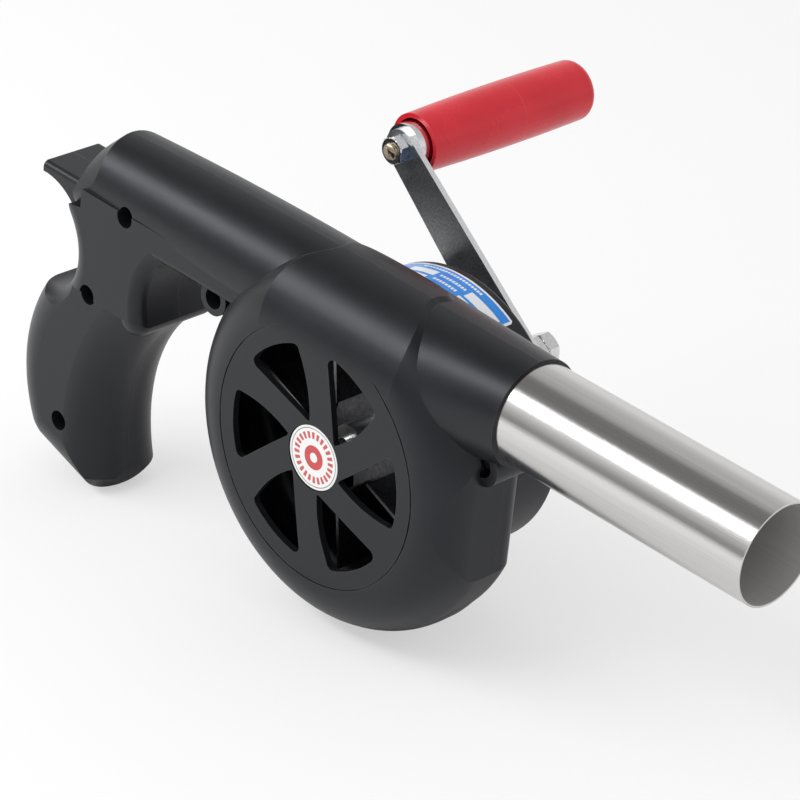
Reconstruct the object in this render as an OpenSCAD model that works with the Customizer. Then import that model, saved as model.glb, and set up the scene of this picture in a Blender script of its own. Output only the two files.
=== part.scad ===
// Hand cranked barbecue blower, standing on its grip and its fan housing as on a table.
// The pieces are drawn with the air tube level along X, the fan axis at the origin and the
// joint between the two casing halves in the plane Y = 0. The grille side is -Y and the crank
// side is +Y. standing() then tips the whole blower nose down until it rests on the table.

/* [Air tube] */
// Outside diameter of the steel air tube
tube_d = 32; // [28:0.5:36]
// Sheet thickness of the air tube
tube_wall = 0.6; // [0.5:0.1:1]
// Length of tube that shows in front of the casing
tube_reach = 92.7; // [60:1:140]
// Length of tube held inside the casing
tube_hold = 15; // [10:1:20]
// Height of the tube axis above the fan axis
tube_rise = 37.6; // [36:0.2:39]

/* [Casing] */
// Wall thickness of both casing halves
wall = 2.2; // [1.8:0.1:2.6]
// Radius of the round fan housing
housing_r = 58.9; // [58.6:0.1:59.4]
// Radius of the fuller underside of the fan housing
chin_r = 54.9; // [54.6:0.1:55.6]
// Distance that the underside hangs below the round of the housing
chin_drop = 6.7; // [6.2:0.1:7.2]
// Depth of the fan housing on the grille side of the joint
near_depth = 24; // [23.8:0.1:24.6]
// Depth of the fan housing on the crank side of the joint
far_depth = 10; // [9:0.5:12]
// Radius of the broad rounded edge on the grille side
housing_round = 17; // [16:0.2:17.4]
// Distance from the fan axis to the flat front of the fan housing
front_flat = 55; // [54.6:0.2:56]
// Distance from the fan axis to the mouth that holds the tube
mouth_x = 63; // [60:0.5:66]
// Radius of the barrel at its thickest
barrel_r = 18; // [17.6:0.1:18.4]
// Radius of the long curve that the barrel swells along
barrel_bow_r = 1700; // [1200:100:3000]
// Half width of the flat sides behind the fan housing
side_w = 17.6; // [17:0.1:18]
// Height of the underside between the trigger and the fan housing
belly_z = 28; // [27:0.5:31]

/* [Grip] */
// Half width of the grip on the grille side
grip_w = 17; // [16:0.5:18]
// Half width of the grip on the crank side
grip_far_w = 17; // [16:0.5:18]
// Radius of the rounding along the grip
grip_round = 14; // [13:0.5:14]
// Radius of the long curve of the palm side
palm_r = 55.2; // [54:0.2:57]
// Radius of the hollow curve of the finger side
finger_r = 64.8; // [60:0.5:70]
// Slope of the base of the grip in degrees
base_slope = 16.7; // [12:0.1:18]
// Distance from the centre of the palm curve to the base
base_drop = 41.4; // [40:0.2:42]
// Radius of the rear corner of the base
base_rear_r = 14.6; // [14.5:0.1:16]
// Radius of the front corner of the base
base_front_r = 7; // [6:0.5:9]
// Half width of the thumb rest
thumb_w = 12; // [10:0.5:14]
// Length of the thumb rest behind the slope of the barrel
thumb_reach = 9; // [8:0.5:12]

/* [Grille] */
// Number of air slots
slots = 6; // [5:1:7]
// Radius of the outer end of the slots
slot_rim_r = 35.6; // [33:0.2:38]
// Radius of the inner end of the slots
slot_hub_r = 11.8; // [11.4:0.2:14]
// Radius of the fine groove round the slots
groove_r = 41.2; // [40.8:0.1:41.4]
// Radius of the sticker on the hub
sticker_r = 10.3; // [8:0.1:10.5]

/* [Gear drum] */
// Radius of the drum that covers the gears
drum_r = 44.5; // [43.5:0.5:46]
// Distance from the casing joint to the far face of the drum
drum_depth = 36; // [35:0.5:40]
// Width of the label on the drum
label_w = 14.4; // [8:0.2:14.4]

/* [Gears] */
// Module of all the gears
gear_module = 1; // [1:1:1]
// Teeth of the two large gears
wheel_teeth = 30; // [29:1:31]
// Teeth of the two small gears
pinion_teeth = 10; // [10:1:11]
// Play between the teeth, measured on each flank
flank_play = 0.16; // [0.12:0.01:0.25]
// Face width of the large gears
wheel_w = 5; // [4:0.5:6]
// Distance of the crank axle in front of the fan axis
axle_x = 12.8; // [12.4:0.2:13.6]
// Height of the crank axle above the fan axis
axle_z = 16.4; // [16:0.2:17]

/* [Shafts] */
// Diameter of the fan shaft
fan_shaft_d = 5; // [4:0.5:6]
// Diameter of the idler shaft
idler_shaft_d = 4; // [3.5:0.5:5]
// Diameter of the crank axle
axle_d = 7; // [6:0.5:8]
// Radial clearance of turning fits
run_fit = 0.05; // [0.03:0.01:0.08]

/* [Impeller] */
// Number of paddles
paddles = 6; // [4:1:7]
// Radius to the tips of the paddles
paddle_tip_r = 40; // [34:0.5:44]
// Radius to the inner ends of the paddles
paddle_root_r = 15; // [12:0.5:20]
// Depth of the paddles along the shaft
paddle_depth = 15; // [8:0.5:17]
// Sheet thickness of the impeller
blade_t = 1; // [0.8:0.1:1.4]

/* [Crank] */
// Distance between the axle and the handle bolt
crank_len = 75.4; // [60:0.2:85]
// Angle of the crank above the level, measured from the nozzle side
crank_angle = 141; // [120:1:160]
// Thickness of the crank arm
arm_t = 2; // [1.5:0.1:3]
// Radius of the arm round the axle
arm_big_r = 8.7; // [7.6:0.1:11]
// Radius of the arm round the handle bolt
arm_small_r = 6.1; // [5:0.1:8]
// Distance from the casing joint to the near face of the arm
arm_y = 48; // [46:0.5:52]

/* [Handle] */
// Length of the red handle
handle_len = 72.5; // [55:0.5:85]
// Diameter of the handle where it is thickest
handle_d = 20.8; // [20:0.2:24]
// Diameter of the handle at its open end
handle_end_d = 19.4; // [18:0.2:21]
// Wall thickness of the handle
handle_wall = 1.5; // [1.2:0.1:2.5]
// Diameter of the handle bolt
handle_bolt_d = 5; // [4:0.5:6]

/* [Hidden] */
$fn = 72;
e = 0.01;
// Round surfaces that would only touch are set this far across each other
nick = 0.01;
proud = 0.04;

// Air tube
tube_r = tube_d / 2;
tube_back_x = mouth_x - tube_hold;
tube_end_x = mouth_x + tube_reach;
// The mouth closes on the tube with this radial gap, and its lip stands this proud
tube_gap = 0.05;
lip_t = 0.6;

// Casing places, as [x, z]
housing_c = [0, 0];
chin_c = [0.1, -chin_drop];
// The underside is rounded over nearly its whole depth, on each half of depth w
function chin_round(w) = w < near_depth ? w - 2 : w - 1.3;
front_round = 12;
bow_mid_x = -40;
duct_back_x = 12;
duct_back_r = near_depth;
rear_x = -107.3;
rear_slope = 42;
// Rear end of the barrel, a steep plane from neck_top down to neck_foot
neck_x = -132;
neck_top = [-120.5, 52];
neck_foot = [-126.3, 26];
belly_edge_r = 2.5;
// Hollow of the back, where the web of the thumb goes
web_c = [-142.3, 12];
web_r = 19.7;
web_round = 8;
thumb_top_z = 35.5;
thumb_tip_x = -134.2 - thumb_reach;
thumb_edge_r = 2;
// Grip curves
palm_c = [-95, -35];
finger_c = [-43.5, -48];
base_dir = [cos(-base_slope), sin(-base_slope)];
base_out = [sin(-base_slope), -cos(-base_slope)];
// Distance from a point to the base line, measured outward
function to_base(p) = base_drop - (p - palm_c) * base_out;
// Centres of the two round corners of the base, each tangent to the base and to its curve
rear_in = to_base(palm_c) - base_rear_r;
base_rear_c = palm_c + base_out * rear_in
    - base_dir * sqrt(pow(palm_r - base_rear_r, 2) - rear_in * rear_in);
front_in = to_base(finger_c) - base_front_r;
base_front_c = finger_c + base_out * front_in
    - base_dir * sqrt(pow(finger_r + base_front_r, 2) - front_in * front_in);
// Fixed trigger: a hollowed front face above a rounded lip
trigger_c = [-64.3, 9];
trigger_r = 25;
trigger_round = 4.5;
trigger_top_x = -80;
nose_c = [-93.6, 1.5];
nose_r = 6;
// Ball that blunts the front corner of the base towards both sides
toe_reach = 15;

// Air slots: corner radius, angles of the two edges, and the bow of the front edge
corner_r = 2.2;
slot_front_a = 43.5;
slot_back_a = 88;
slot_bow = 1.5;

// Screws through the casing, as [x, z, depth of the near face, depth of the far face]
rear_lug = [-56.5, 25.9];
front_lug = [54.6, 19];
lug_r = 5.6;
rear_lug_y = 16;
front_lug_y = 10;
screw_places = [[-97.2, 36.5, side_w, side_w], [-112.8, 2.3, grip_w, grip_w],
    [-123.9, -49.2, grip_w, grip_far_w], [rear_lug[0], rear_lug[1], rear_lug_y, far_depth],
    [front_lug[0], front_lug[1], front_lug_y, front_lug_y]];
screw_well_r = 3.45;
screw_head_r = 2.9;
screw_r = 1.5;
screw_pilot_r = 1.5;
screw_boss_r = 5;
screw_floor = 4.2;
screw_len = 12;

// Levels along Y
face_in = near_depth - wall;
impeller_back_y = 0.5;
impeller_front_y = impeller_back_y - paddle_depth;
plate_t = 1.5;
near_plate_y = 8;
stage1_y = 11;
stage2_y = stage1_y + wheel_w + 3;
far_plate_y = stage2_y + wheel_w + 2.5;
post_len = far_plate_y - near_plate_y - plate_t;

// Gear places
pitch_wheel = gear_module * wheel_teeth / 2;
pitch_pinion = gear_module * pinion_teeth / 2;
gear_reach = pitch_wheel + pitch_pinion;
axle_dist = norm([axle_x, axle_z]);
axle_ang = atan2(axle_z, axle_x);
idler_lift = acos(axle_dist / 2 / gear_reach);
idler_ang = axle_ang + idler_lift;
idler_x = gear_reach * cos(idler_ang);
idler_z = gear_reach * sin(idler_ang);
// Direction from the crank axle to the idler
to_idler_ang = atan2(idler_z - axle_z, idler_x - axle_x);
posts = [[-14.5, -0.5], [22, -12], [6, 36]];
post_r = 3;
post_hole_r = 1.6;

// Label round the drum, on a film of glue
glue_t = 0.02;
label_t = 0.25;
label_edge = 3.5;

// Hub on the drum and the bush of the crank axle
axle_hub_r = 8;
hub_end_y = drum_depth + 7;
bush_out_r = axle_d / 2 + 1.6;
// Hub of the impeller
hub_r = 6;

// Crank places
arm_far_y = arm_y + arm_t;
washer_t = 1.5;
washer_r = 7.5;
crank_nut_t = 4.8;
crank_nut_af = 10;
axle_end_y = arm_far_y + washer_t + 2 * crank_nut_t + 1.6;
axle_start_y = near_plate_y - 3;
axle_tip_d = axle_d - 1;
grip_x = axle_x + crank_len * cos(crank_angle);
grip_z = axle_z + crank_len * sin(crank_angle);
handle_nut_t = 3.6;
handle_nut_af = 8.4;
handle_gap = 4.4;
bush_flange_t = handle_gap + 3;
handle_y = arm_far_y + handle_gap;
handle_end_y = handle_y + handle_len;
handle_r = handle_d / 2;
// The handle is thickest a little beyond its middle
handle_mid = handle_len * 0.56;
handle_end_r = handle_end_d / 2;
handle_bands = 10;
function handle_bow(y) = handle_r - (handle_r - handle_end_r) * pow((y - handle_mid) / handle_mid, 2);
bush_r = handle_bolt_d / 2 + 1.5;

// Stance: the line under the housing and the front corner of the base meets the table
stand_gap = chin_c - base_front_c;
stand_dist = norm(stand_gap);
nose_down = atan2(stand_gap[1], stand_gap[0]) - asin((chin_r - base_front_r) / stand_dist);
function tipped(p) = [p[0] * cos(nose_down) + p[1] * sin(nose_down),
    -p[0] * sin(nose_down) + p[1] * cos(nose_down)];
floor_z = tipped(chin_c)[1] - chin_r;
rear_reach = tipped(palm_c)[0] - palm_r;
front_reach = tipped([tube_end_x, tube_rise + tube_r])[0];
mid_x = (rear_reach + front_reach) / 2;
mid_y = (handle_end_y - near_depth) / 2;

module standing() {
    translate([-mid_x, -mid_y, -floor_z]) rotate([0, nose_down, 0]) children();
}

// Turns a profile of [radius, y] about the Y axis through p
module spin_at(p) {
    translate([p[0], 0, p[1]]) rotate([-90, 0, 0]) rotate_extrude() children();
}

// Raises an outline of [x, z] from y0 to y1
module plate(y0, y1) {
    translate([0, y1, 0]) rotate([90, 0, 0]) linear_extrude(height = y1 - y0) children();
}

module rod(p, r, y0, y1, sides = $fn) {
    translate([p[0], y0, p[1]]) rotate([-90, 0, 0]) cylinder(h = y1 - y0, r = r, $fn = sides);
}

// Half section of a round edged disc that grows away from the joint
module disc_profile(r, w, edge) {
    square([r - edge, w]);
    square([r, w - edge]);
    translate([r - edge, w - edge]) intersection() {
        circle(edge);
        square(edge);
    }
}

// Half section of the cut that leaves a hollow curve with the same round edge
module hollow_profile(r, w, edge) {
    square([r, w + 1]);
    difference() {
        translate([0, w - edge + nick]) square([r + edge, edge + 1]);
        translate([r + edge, w - edge + nick]) circle(edge);
    }
}

// Casts a shape of the far side to the side that s names
module on_side(s) {
    if (s > 0) children();
    else mirror([0, 1, 0]) children();
}

// Round edged disc of one half, drawn in by t
module puck(p, r, w, edge, t) {
    translate([p[0], 0, p[1]]) rotate([90, 0, 0]) mirror([0, 0, 1]) rotate_extrude()
        disc_profile(r - t, w - t, max(edge - t, 0.4));
}

module hollow(p, r, w, edge, t) {
    translate([p[0], 0, p[1]]) rotate([90, 0, 0]) mirror([0, 0, 1]) rotate_extrude()
        hollow_profile(r + t, w - t, max(edge - t, 0.4));
}

// Cuts what lies outside a round corner between the directions a0 and a1
module corner_cut(c, r, a0, a1, w, edge, t) {
    difference() {
        plate(-1, w + 1) polygon([c, c + 40 * polar(1, a0),
            c + 56 * polar(1, (a0 + a1) / 2), c + 40 * polar(1, a1)]);
        puck(c, r + proud, w + proud, min(edge, r - 0.4), t);
    }
}

// Cuts what lies outside a ball that touches the corner from inside
module toe_cut(c, r, a0, a1, w, t) {
    mid = (a0 + a1) / 2;
    difference() {
        plate(-1, w + 1) polygon([c, c + 40 * polar(1, a0), c + 56 * polar(1, mid),
            c + 40 * polar(1, a1)]);
        translate([c[0] - toe_reach * cos(mid), 0, c[1] - toe_reach * sin(mid)])
            sphere(toe_reach + r + proud - t);
    }
}

// Grip of one half: palm curve, finger curve, base and its two corners
module grip_half(w, t) {
    rear_a = atan2(base_rear_c[1] - palm_c[1], base_rear_c[0] - palm_c[0]);
    front_a = atan2(finger_c[1] - base_front_c[1], finger_c[0] - base_front_c[0]);
    base_a = -90 - base_slope;
    difference() {
        puck(palm_c, palm_r, w, grip_round, t);
        hollow(finger_c, finger_r, w, grip_round, t);
        base_cut(w, t);
        corner_cut(base_rear_c, base_rear_r, rear_a, base_a, w, grip_round, t);
        corner_cut(base_front_c, base_front_r, base_a, front_a, w, grip_round, t);
        toe_cut(base_front_c, base_front_r, base_a, front_a, w, t);
        // Nothing of the palm disc stays in front of the trigger
        translate([nose_c[0] + 2 - t, -1, -100]) cube([60, w + 2, 200]);
    }
}

// Everything below the base, with the round edge along it
module base_cut(w, t) {
    edge = grip_round - t;
    c = palm_c + base_out * (base_drop - t);
    translate([c[0], 0, c[1]]) rotate([0, base_slope, 0]) rotate([90, 0, 90])
        translate([0, 0, -90]) linear_extrude(height = 180) {
            translate([-1, -60]) square([w + 2, 60]);
            difference() {
                translate([w - t - edge, -1]) square([edge + 3, edge + 1 - nick]);
                translate([w - t - edge, edge - nick]) circle(edge);
            }
        }
}

// Barrel: a slightly swelling round bar along the tube axis, mitred into the back slope
module barrel(t) {
    difference() {
        intersection() {
            translate([bow_mid_x, 0, tube_rise]) rotate([0, 90, 0]) rotate_extrude()
                intersection() {
                    translate([barrel_r - t - barrel_bow_r, 0]) circle(barrel_bow_r, $fn = 256);
                    translate([0, neck_x - bow_mid_x]) square([30, mouth_x - neck_x]);
                }
            translate([-150, 0, -100]) cube([300, 60, 200]);
        }
        back_cut(t);
        plate(-1, 60) polygon([neck_top + [t, 0], neck_foot + [t, 0], neck_foot + [t, -60],
            [-200, -60], [-200, 52]]);
    }
}

// What lies above and behind the slope at the back of the barrel
module back_cut(t) {
    translate([rear_x, 0, tube_rise]) rotate([0, -rear_slope, 0]) difference() {
        translate([-80, -1, 0]) cube([80 + barrel_r * tan(rear_slope / 2), 60, 60]);
        translate([-90, 0, 0]) rotate([0, 90, 0]) cylinder(h = 120, r = side_w - t);
    }
}

// Flat sides under the barrel, from the neck to the fan housing
module skirt(t) {
    w = side_w - t;
    translate([-118, 0, 0]) rotate([90, 0, 90]) linear_extrude(height = 118 + 30) {
        translate([0, belly_z + t]) square([w - belly_edge_r, tube_rise - belly_z - t]);
        translate([0, belly_z + t + belly_edge_r])
            square([w, tube_rise - belly_z - t - belly_edge_r]);
        translate([w - belly_edge_r, belly_z + t + belly_edge_r]) circle(belly_edge_r);
    }
}

// Block that joins neck, skirt and grip, and the hollowed front of the trigger
module shoulder(t) {
    w = side_w - t;
    plate(0, w) polygon([[-121.5 + t, 2], [-108, 2], [-108, tube_rise - 6], [-116, tube_rise - 6],
        [-124 + t, 30], [-124 + t, 14]]);
    difference() {
        plate(0, w) polygon([[-112, nose_c[1]], [nose_c[0] + nose_r - t - 0.1, nose_c[1]],
            [trigger_top_x, 20], [trigger_top_x, belly_z + 6], [-112, belly_z + 6]]);
        hollow(trigger_c, trigger_r, side_w, trigger_round, t);
    }
    difference() {
        puck(nose_c, nose_r, side_w - 0.4, 5, t);
        hollow(trigger_c, trigger_r, side_w, trigger_round, t);
    }
}

module thumb_rest(t) {
    w = thumb_w - t;
    r = thumb_edge_r;
    translate([thumb_tip_x + t, 0, 0]) rotate([90, 0, 90])
        linear_extrude(height = -112 - thumb_tip_x - t) {
            translate([0, 12]) square([w, thumb_top_z - t - r - 12]);
            translate([0, 12]) square([w - r, thumb_top_z - t - 12]);
            translate([w - r, thumb_top_z - t - r]) circle(r);
        }
}

// Fan housing of one half: round, fuller below, flat in front, level with the barrel on top
module housing(w, t) {
    edge = min(housing_round, w - 3);
    crown_r = near_depth - t;
    crown_z = tube_rise + barrel_r - near_depth;
    difference() {
        intersection() {
            union() {
                puck(housing_c, housing_r, w, edge, t);
                puck(chin_c, chin_r, w, chin_round(w), t);
            }
            union() {
                translate([-100, 0, -100]) cube([100 + mouth_x, 60, 100 + crown_z]);
                translate([-100, 0, crown_z]) rotate([0, 90, 0])
                    cylinder(h = 100 + mouth_x, r = crown_r);
            }
        }
        front_cut(w - t, min(front_round, edge) - t, t);
    }
}

// What lies in front of the flat of the housing, with a round edge along it
module front_cut(w, edge, t) {
    reach = front_flat - t;
    translate([0, 0, -100]) linear_extrude(height = 200) difference() {
        translate([reach - edge, -1]) square([edge + 30, w + 3]);
        translate([reach - edge - 1, -2]) square([edge + 1, w - edge + nick + 2]);
        translate([reach - edge, w - edge + nick]) circle(edge);
    }
}

// Cone that leads from the housing to the mouth
module duct(t) {
    dz = tube_rise - (tube_rise + barrel_r - near_depth);
    run = mouth_x - duct_back_x;
    tilt = atan2(dz, run);
    intersection() {
        translate([duct_back_x, 0, tube_rise - dz]) rotate([0, 90 - tilt, 0])
            cylinder(h = norm([run, dz]) + 4, r1 = duct_back_r - t - 0.6, r2 = tube_r + lip_t - t);
        translate([duct_back_x, 0, 0]) cube([run, 60, 60]);
    }
}

// Outside (t = 0) or inside (t = wall) of one half, drawn on the +Y side
module body_half(w, grip, t) {
    skirt(t);
    housing(w, t);
    difference() {
        union() {
            barrel(t);
            shoulder(t);
            thumb_rest(t);
            grip_half(grip, t);
        }
        hollow(web_c, web_r, side_w, web_round, t);
    }
}

// One air slot: hub corner, bowed front edge, rim arc and back edge
function polar(r, a) = [r * cos(a), r * sin(a)];
function bend(p, c, q, n) = [for (i = [0:n]) let (u = i / n)
    p * (1 - u) * (1 - u) + c * 2 * u * (1 - u) + q * u * u];
function sweep(c, r, a0, a1, n) = [for (i = [0:n]) c + polar(r, a0 + (a1 - a0) * i / n)];
function slot_outline() =
    let (hub = polar(slot_hub_r, slot_front_a + 3),
        fc = polar(slot_rim_r - corner_r, slot_front_a + 7.2),
        bc = polar(slot_rim_r - corner_r, slot_back_a - 6),
        out = [sin(slot_front_a), -cos(slot_front_a)],
        f0 = fc + corner_r * out,
        mid = (hub + f0) / 2 + out * 2 * slot_bow)
    concat(bend(hub + out * 0.5, mid, f0, 8),
        sweep(fc, corner_r, slot_front_a - 70, slot_front_a + 7.2, 5),
        sweep([0, 0], slot_rim_r, slot_front_a + 9, slot_back_a - 8, 8),
        sweep(bc, corner_r, slot_back_a - 6, slot_back_a + 96, 6),
        bend(bc + corner_r * polar(1, slot_back_a + 100), polar(21, slot_back_a - 13),
            hub - out * 0.5, 6));

module slot_cut() {
    for (k = [0:slots - 1]) rotate([0, -k * 360 / slots, 0])
        plate(-near_depth - 1, -near_depth + wall + 4) polygon(slot_outline());
}

module near_shell() {
    color([0.12, 0.12, 0.13]) standing() difference() {
        union() {
            difference() {
                on_side(-1) union() {
                    body_half(near_depth, grip_w, 0);
                    duct(0);
                    plate(0, rear_lug_y) translate(rear_lug) circle(lug_r);
                    plate(0, front_lug_y) translate(front_lug) circle(lug_r + 0.6);
                }
                on_side(-1) translate([0, -e, 0]) {
                    body_half(near_depth, grip_w, wall);
                    duct(wall);
                }
            }
            for (p = screw_places) rod(p, screw_boss_r, 1 - p[2], 0);
            // Seat that grips the tube
            on_side(-1) intersection() {
                translate([tube_back_x, 0, tube_rise]) rotate([0, 90, 0])
                    cylinder(h = tube_hold, r = tube_r + lip_t);
                translate([0, 0, 0]) cube([100, 60, 100]);
            }
        }
        for (p = screw_places) {
            rod(p, screw_well_r, -p[2] - 1, -screw_floor);
            rod(p, screw_r + 0.3, -p[2], 1);
        }
        slot_cut();
        // Fine groove round the slots
        spin_at([0, 0]) translate([groove_r, -near_depth - 1]) square([0.5, 1.4]);
        // Seat of the sticker
        rod([0, 0], sticker_r + 0.4, -near_depth - 1, -near_depth + 0.6);
        translate([tube_back_x - e, 0, tube_rise]) rotate([0, 90, 0])
            cylinder(h = tube_hold + 2, r = tube_r + tube_gap);
    }
}

module far_shell() {
    color([0.11, 0.11, 0.12]) standing() difference() {
        union() {
            difference() {
                union() {
                    body_half(far_depth, grip_far_w, 0);
                    intersection() {
                        duct(0);
                        translate([0, 0, 0]) cube([100, side_w, 100]);
                    }
                    plate(0, far_depth) translate(rear_lug) circle(lug_r);
                    plate(0, front_lug_y) translate(front_lug) circle(lug_r + 0.6);
                    spin_at([0, 0]) disc_profile(drum_r, drum_depth, 1.6);
                }
                translate([0, -e, 0]) {
                    body_half(far_depth, grip_far_w, wall);
                    duct(wall + 2);
                    spin_at([0, 0]) disc_profile(drum_r - wall, drum_depth - wall, 0.6);
                }
            }
            for (p = screw_places) rod(p, screw_boss_r - 1, 0, p[3] - 1);
            // Hub on the drum that the crank axle comes out of
            rod([axle_x, axle_z], axle_hub_r, drum_depth - wall, hub_end_y);
            // Bosses that carry the gear frame
            for (p = posts) rod(p, post_r + 1.2, far_plate_y + plate_t, drum_depth - wall + e);
            intersection() {
                translate([tube_back_x, 0, tube_rise]) rotate([0, 90, 0])
                    cylinder(h = tube_hold, r = tube_r + lip_t);
                cube([100, 60, 100]);
            }
        }
        for (p = screw_places) rod(p, screw_pilot_r, -1, screw_len - screw_floor + 1);
        rod([axle_x, axle_z], bush_out_r, drum_depth - wall - 5, hub_end_y + 1);
        for (p = posts) rod(p, post_hole_r, far_plate_y, drum_depth - 1);
        translate([tube_back_x - e, 0, tube_rise]) rotate([0, 90, 0])
            cylinder(h = tube_hold + 2, r = tube_r + tube_gap);
    }
}

module air_tube() {
    color("silver") standing() translate([tube_back_x, 0, tube_rise]) rotate([0, 90, 0])
        difference() {
            cylinder(h = tube_end_x - tube_back_x, r = tube_r);
            translate([0, 0, -1]) cylinder(h = tube_end_x, r = tube_r - tube_wall);
        }
}

module hub_sticker() {
    color("white") standing() rod([0, 0], sticker_r, -near_depth + 0.25, -near_depth + 0.6);
}

module drum_label() {
    color([0.1, 0.45, 0.85]) standing() difference() {
        spin_at([0, 0]) translate([drum_r + glue_t, drum_depth - label_edge - label_w])
            square([label_t, label_w]);
        plate(0, drum_depth + 1) polygon([[0, 0], polar(80, 37), polar(80, -60), polar(80, -140),
            polar(80, 175), polar(80, 128)]);
    }
}

module shell_screws() {
    color("silver") standing() for (p = screw_places) {
        difference() {
            rod(p, screw_head_r, -screw_floor - 2, -screw_floor);
            rod(p, 1.2, -screw_floor - 3, -screw_floor - 1, 6);
        }
        rod(p, screw_r - 0.02, -screw_floor, screw_len - screw_floor);
    }
}

// Stamped impeller: a plate with arms, each bent forward into a paddle
module impeller() {
    color("silver") standing() difference() {
        union() {
            rod([0, 0], paddle_root_r, impeller_back_y - blade_t, impeller_back_y);
            for (k = [0:paddles - 1]) rotate([0, -(k * 360 / paddles - 22), 0]) {
                translate([paddle_root_r - 3, impeller_back_y - blade_t, -blade_t / 2 - 7])
                    cube([paddle_tip_r - paddle_root_r + 3, blade_t, 7 + blade_t]);
                translate([paddle_root_r, impeller_front_y, -blade_t / 2])
                    cube([paddle_tip_r - paddle_root_r, paddle_depth, blade_t]);
            }
        }
        rod([0, 0], hub_r - 1.5 + e, -60, 60);
    }
}

module impeller_hub() {
    color("goldenrod") standing() difference() {
        union() {
            rod([0, 0], hub_r, impeller_back_y - blade_t - 9, impeller_back_y - blade_t);
            rod([0, 0], hub_r - 1.5, impeller_back_y - blade_t - e, impeller_back_y + 1);
        }
        rod([0, 0], fan_shaft_d / 2, -60, 60);
    }
}

module fan_shaft() {
    color("silver") standing() rod([0, 0], fan_shaft_d / 2, impeller_back_y - 12,
        far_plate_y + plate_t + 1);
}

module ring(p, r_in, r_out, y0, y1) {
    difference() {
        rod(p, r_out, y0, y1);
        rod(p, r_in, y0 - 1, y1 + 1);
    }
}

module fan_bushes() {
    color("goldenrod") standing() {
        for (p = [[0, 0, fan_shaft_d / 2], [idler_x, idler_z, idler_shaft_d / 2]])
            for (y = [near_plate_y, far_plate_y]) {
                ring(p, p[2] + run_fit, p[2] + 1.6, y, y + plate_t);
                ring(p, p[2] + run_fit, p[2] + 2.6, y > 15 ? y - 0.8 : y + plate_t,
                    y > 15 ? y : y + plate_t + 0.8);
            }
    }
}

// Outline of the two frame plates
module frame_outline() {
    difference() {
        union() {
            for (p = posts) translate(p) circle(post_r + 2.2);
            circle(fan_shaft_d / 2 + 6);
            translate([idler_x, idler_z]) circle(8);
            translate([axle_x, axle_z]) circle(axle_d / 2 + 6);
            for (pair = [[posts[0], [0, 0]], [[0, 0], posts[1]], [[0, 0], [axle_x, axle_z]],
                    [[idler_x, idler_z], [axle_x, axle_z]], [[0, 0], [idler_x, idler_z]],
                    [[axle_x, axle_z], posts[2]], [[idler_x, idler_z], posts[2]],
                    [posts[0], [idler_x, idler_z]], [posts[1], [axle_x, axle_z]]])
                strut(pair[0], pair[1], 6);
        }
        for (p = posts) translate(p) circle(post_hole_r);
    }
}

module strut(a, b, w) {
    d = b - a;
    translate(a) rotate(atan2(d[1], d[0])) translate([0, -w / 2]) square([norm(d), w]);
}

module frame_near_plate() {
    color("silver") standing() difference() {
        plate(near_plate_y, near_plate_y + plate_t) frame_outline();
        rod([0, 0], fan_shaft_d / 2 + 1.6, 0, 60);
        rod([idler_x, idler_z], idler_shaft_d / 2 + 1.6, 0, 60);
        rod([axle_x, axle_z], bush_out_r, 0, 60);
    }
}

module frame_far_plate() {
    color("silver") standing() difference() {
        plate(far_plate_y, far_plate_y + plate_t) frame_outline();
        rod([0, 0], fan_shaft_d / 2 + 1.6, 0, 60);
        rod([idler_x, idler_z], idler_shaft_d / 2 + 1.6, 0, 60);
        rod([axle_x, axle_z], axle_d / 2 + 1, 0, 60);
    }
}

module frame_posts() {
    color("silver") standing() for (p = posts)
        ring(p, post_hole_r, post_r, near_plate_y + plate_t, far_plate_y);
}

module frame_screws() {
    color("silver") standing() for (p = posts)
        rod(p, post_hole_r - 0.02, near_plate_y - 4, drum_depth - 1.2);
}

module frame_nuts() {
    color("silver") standing() for (p = posts) difference() {
        rod(p, 3.2, near_plate_y - 2.6, near_plate_y, 6);
        rod(p, post_hole_r, 0, 20);
    }
}

// Involute gear drawn from its rules
function inv_point(base, a) = [base * (cos(a) + a * PI / 180 * sin(a)),
    base * (sin(a) - a * PI / 180 * cos(a))];
function roll_to(base, r) = sqrt(max(r * r / base / base - 1, 0)) * 180 / PI;
function inv_ang(base, r) = let (p = inv_point(base, roll_to(base, r))) atan2(p[1], p[0]);
function flank(teeth, tip, steps) =
    let (pr = gear_module * teeth / 2, base = pr * cos(20), foot = max(base, pr - gear_module),
        half = 90 / teeth - flank_play / pr * 180 / PI + inv_ang(base, pr))
    [for (i = [0:steps]) let (r = foot + (tip - foot) * i / steps)
        [r, half - inv_ang(base, r)]];

module gear(teeth, steps = 3) {
    pr = gear_module * teeth / 2;
    tip = pr + gear_module * 0.9;
    root = pr - gear_module * 1.25;
    side = flank(teeth, tip, steps);
    polygon([for (k = [0:teeth - 1]) each concat(
        [polar(root, k * 360 / teeth - side[0][1] - 1)],
        [for (i = [0:steps]) polar(side[i][0], k * 360 / teeth - side[i][1])],
        [for (i = [steps:-1:0]) polar(side[i][0], k * 360 / teeth + side[i][1])],
        [polar(root, k * 360 / teeth + side[0][1] + 1)])]);
}

module gear_at(p, teeth, turn, y0, y1, bore) {
    difference() {
        plate(y0, y1) translate(p) rotate(turn) gear(teeth);
        rod(p, bore, y0 - 1, y1 + 1);
    }
}

// Each pair is set with a tooth of the large gear in a gap of the small one
module crank_wheel() {
    color("silver") standing() difference() {
        gear_at([axle_x, axle_z], wheel_teeth, to_idler_ang, stage1_y, stage1_y + wheel_w,
            axle_d / 2);
        for (k = [0:4]) rod([axle_x, axle_z] + polar(9, k * 72 + 20), 2.2, 0, 40);
    }
}

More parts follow.
